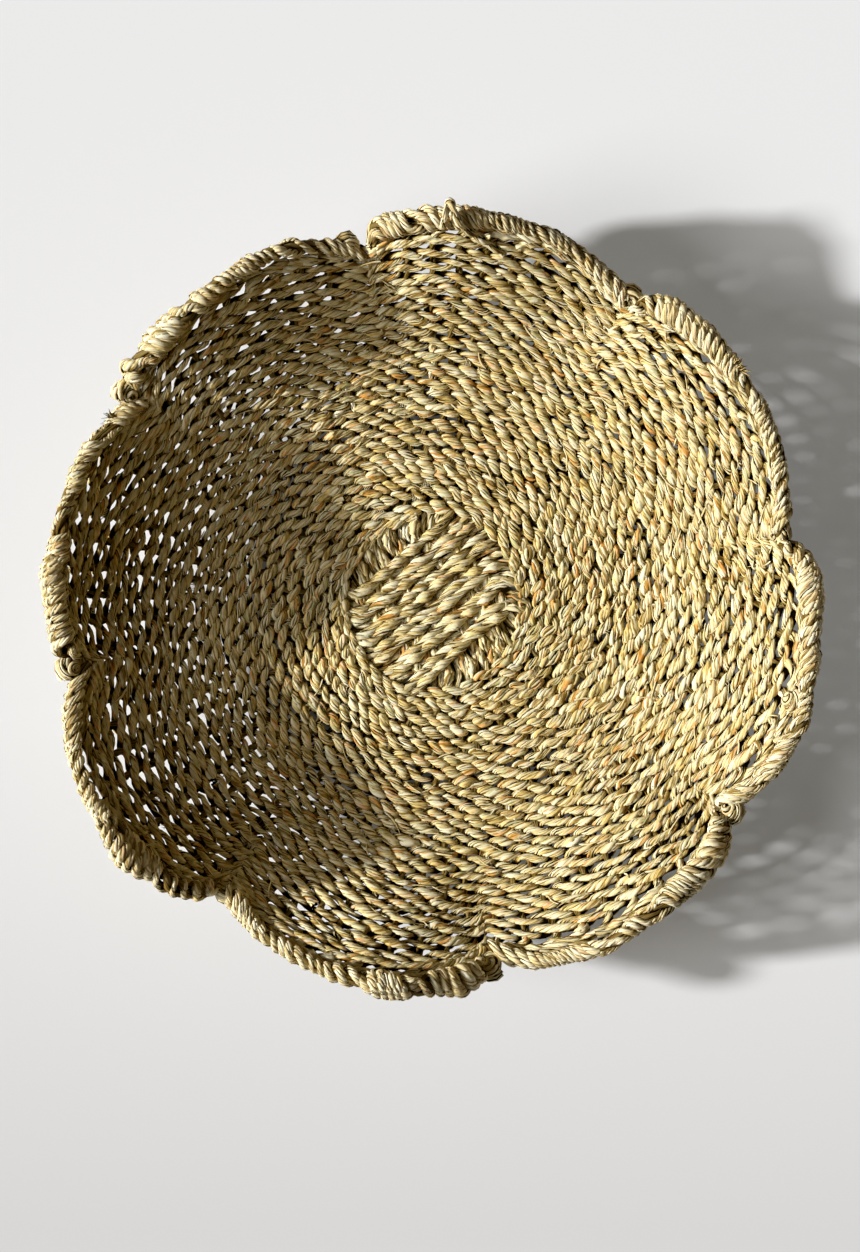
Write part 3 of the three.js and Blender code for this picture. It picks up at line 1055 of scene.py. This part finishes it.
# Ends of grass that stand off the weave, and a few tufts and one loop at the rim.
loose = {
    "ends": 420,
    "endLength": (4, 13),
    "endHeading": (0.3, 0.35),  # radians from the row, and how far they spread
    "endLift": (2.6, 3.3),  # mm off the middle of the weave
    "endRise": (0.1, 2.0),
    "endGauge": (0.7, 1.8),
    "combs": 80,
    "combEnds": (3, 4, 5, 6),
    "combSpacing": 0.85,
    "combStart": (-1.6, 2.2, -1.8),  # mm along the row, off the weave and up the wall
    "combLength": (3.2, 5.2),
    "combRise": (0.3, 1.2),
    "combGauge": 0.8,
    "tufts": [(216, 1), (38, 0), (150, 0), (262, 0)],  # angle, and mm by which it is longer
    "tuftEnds": 16,
    "tuftSpread": 0.35,
    "tuftInset": 2.5,
    "tuftWidth": (-2, 2),
    "tuftLift": (-1, 2.5),
    "tuftLength": (5, 9),
    "tuftRise": (-1, 2),
    # the loop that stands off the rim: angle, mm past the last row and mm off the weave
    "loop": [(88.5, 11, 6), (88.4, 15, 8.5), (88, 22, 5.5), (87.6, 26, 3), (87.1, 22, 5.5), (86, 14, 9)],
    "loopEnd": [(84.3, 8, 7), (82.3, 2, 5), (80, -4, 3.5), (78, -9, 2)],
    "loopSteps": 5,  # from one mark to the next
    "loopSmoothing": 8,
    "loopLay": 9.0,
    "loopGauge": 0.75,
    "bladeBend": 0.5,  # of its length, to either side
    "bladeSteps": 6,
    "bladeTaper": 0.75,
    "blade": {
        "Strands": 1,
        "Across": 0.0,
        "Depth": 0.0,
        "Blades": 1,
        "Blade Width": 1.15 * mm,
        "Blade Thickness": 0.6 * mm,
        "Bundle Radius": 0.05 * mm,
        "Bundle Twist": 0.03,
        "Unevenness": 0.3,
        "Wander": 0.2 * mm,
        "Face Light": 1.0,
        "Bundle Shade": 0.0,
        "Sides": 4,
    },
}
chance = random.Random(11)


def bladeLine(start, direction, facing, length, rise, gauge):
    line = []
    across = facing.cross(direction).normalized()
    bend = chance.uniform(-loose["bladeBend"], loose["bladeBend"]) * length
    for share in spaced(0, 1, loose["bladeSteps"]):
        spot = direction * (length * share) + facing * (rise * share ** 1.5) + across * (bend * share ** 2)
        taper = 1 - loose["bladeTaper"] * share ** 2
        line.append(guidePoint(start + spot * mm, across, facing, length * share, gauge * taper))
    return line


def looseEnd():
    row = sqrt(chance.uniform(0, 1)) * (rowCount - 0.5)
    place = chance.uniform(0, petalCount)
    point, facing, climbing = bowlFrame(row, 0, place)
    along = facing.cross(climbing)
    heading = chance.gauss(*loose["endHeading"]) + (pi if chance.random() < 0.5 else 0)
    direction = along * cos(heading) + climbing * sin(heading)
    length = chance.uniform(*loose["endLength"])
    start = point + facing * (chance.uniform(*loose["endLift"]) * mm)
    rise = chance.uniform(*loose["endRise"])
    return bladeLine(start, direction, facing, length, rise, chance.uniform(*loose["endGauge"]))


# Where a cord was cut or begun, a comb of short stiff ends shows.
def comb():
    row = chance.uniform(0.5, rowCount - 1)
    place = (math.floor(chance.uniform(0, stakeEnds)) + 0.5) / stakesPerPetal
    point, facing, climbing = bowlFrame(math.floor(row) + 0.5, 0, place)
    along = facing.cross(climbing)
    first, off, up = loose["combStart"]
    lines = []
    for i in range(chance.choice(loose["combEnds"])):
        start = point + (along * (i * loose["combSpacing"] + first) + facing * off + climbing * up) * mm
        length = chance.uniform(*loose["combLength"])
        rise = chance.uniform(*loose["combRise"])
        lines.append(bladeLine(start, climbing, facing, length, rise, loose["combGauge"]))
    return lines


def tuft(angle, longer):
    place = placeAtAngle(angle)
    petal = math.floor(place)
    point, facing, climbing, radius = rollPoint(petal, place - petal)
    along = facing.cross(climbing)
    lines = []
    for _ in range(loose["tuftEnds"]):
        heading = chance.gauss(0, loose["tuftSpread"])
        direction = climbing * cos(heading) + along * sin(heading)
        spot = direction * (radius - loose["tuftInset"]) + along * chance.uniform(*loose["tuftWidth"])
        start = point + (spot + facing * chance.uniform(*loose["tuftLift"])) * mm
        length = chance.uniform(*loose["tuftLength"]) + longer
        lines.append(bladeLine(start, direction, facing, length, chance.uniform(*loose["tuftRise"]), 1.0))
    return lines


def rimLoop():
    marks = loose["loop"] + loose["loopEnd"]
    route = []
    for before, after in zip(marks, marks[1:]):
        steps = [spaced(first, last, loose["loopSteps"])[:-1] for first, last in zip(before, after)]
        for angle, reach, lift in zip(*steps):
            point, facing, _ = bowlFrame(rowCount, reach, placeAtAngle(angle))
            route.append((point + facing * (lift * mm), facing))
    return cordLine(smoothed(route, loose["loopSmoothing"]), 95, loose["loopLay"], loose["loopGauge"])


ends = [looseEnd() for _ in range(loose["ends"])]
for _ in range(loose["combs"]):
    ends += comb()
twinePiece("loose_ends", ends, loose["blade"], 300, looseGrass, "inner_weave")
brushes = [line for angle, longer in loose["tufts"] for line in tuft(angle, longer)]
twinePiece("rim_tufts", brushes, loose["blade"], 310, looseGrass, "rim_wrap")
twinePiece("rim_loop", [rimLoop()], stakes["twine"], 320, rimGrass, "rim_wrap")
print("loose ends laid")


studio = {
    "floorReach": 6,
    "floorColour": (0.77, 0.775, 0.79, 1),
    "floorRoughness": 0.9,
    "floorGlow": 0.15,  # seen by the camera only
    "glowFrom": (0.075, 0.15),  # metres from the bowl's middle, because the floor is dark under the base
    "glowFade": (-0.32, -0.06),  # metres along y, from where the floor is plain to where it glows in full
    "glowColour": (0.92, 0.97, 1, 1),
    # degrees; the light goes down by its elevation, and its turn is from +X towards +Y
    "sun": {"strength": 4.4, "angle": 4, "elevation": 26, "turn": 0.5},
    "soft light": {"strength": 1.15, "angle": 28, "elevation": 39, "turn": 12},
    "fill": 0.05,
    "fillColour": (1, 0.64, 0.1, 1),
    "backdrop": 0.85,
    "cameraPlace": (-0.0015, -0.0120, 2.2),
    "lens": 124.2,
    "sensorWidth": 36,
}


def seenRays(tree):  # 1 for what the camera sees, also in gloss and through glass
    paths = addNode(tree, "ShaderNodeLightPath").outputs
    seen = maths(tree, "MAXIMUM", paths["Is Camera Ray"], paths["Is Glossy Ray"])
    return maths(tree, "MAXIMUM", seen, paths["Is Transmission Ray"])


reach = studio["floorReach"]
corners = [(-reach, -reach, 0), (reach, -reach, 0), (reach, reach, 0), (-reach, reach, 0)]
floorMesh = bpy.data.meshes.new("floor")
floorMesh.from_pydata(corners, [], [(0, 1, 2, 3)])
floor = placed("floor", floorMesh)
floorMaterial, tree, shader = principled("Floor")
floorPlace = tree.nodes.new("ShaderNodeTexCoord").outputs["Object"]
alongFloor = addNode(tree, "ShaderNodeSeparateXYZ", {"Vector": floorPlace}).outputs["Y"]
fromBowl = vectors(tree, "LENGTH", floorPlace)
glow = ranged(tree, fromBowl, *studio["glowFrom"], 0.0, studio["floorGlow"])
glow = maths(tree, "MULTIPLY", seenRays(tree), glow)
glow = maths(tree, "MULTIPLY", glow, ranged(tree, alongFloor, *studio["glowFade"]))
plain = {"Roughness": studio["floorRoughness"], "Specular IOR Level": 0.0}
lit = {"Base Color": studio["floorColour"], "Emission Color": studio["glowColour"], "Emission Strength": glow}
feed(tree, shader, {**plain, **lit})
floorMesh.materials.append(floorMaterial)


def lamp(name, strength, angle, elevation, turn):
    data = bpy.data.lights.new(name, "SUN")
    data.energy = strength
    data.angle = radians(angle)
    elevation, turn = radians(elevation), radians(turn)
    level = cos(elevation)
    ray = Vector((level * cos(turn), level * sin(turn), -sin(elevation)))
    placed(name, data).rotation_euler = ray.to_track_quat("-Z", "Y").to_euler()


for name in ("sun", "soft light"):
    lamp(name, **studio[name])

world = bpy.data.worlds.new("studio")
world.use_nodes = True
bpy.context.scene.world = world
tree = world.node_tree
seen = seenRays(tree)
fill = ranged(tree, seen, 0.0, 1.0, studio["fill"], studio["backdrop"])
tint = colourMix(tree, seen, studio["fillColour"], (1, 1, 1, 1))
feed(tree, tree.nodes["Background"], {"Strength": fill, "Color": tint})

cameraData = bpy.data.cameras.new("camera")
cameraData.lens = studio["lens"]
cameraData.sensor_width = studio["sensorWidth"]
camera = placed("camera", cameraData)
camera.location = studio["cameraPlace"]
bpy.context.scene.camera = camera
bpy.context.scene.view_settings.view_transform = "Standard"

print("scene finished")
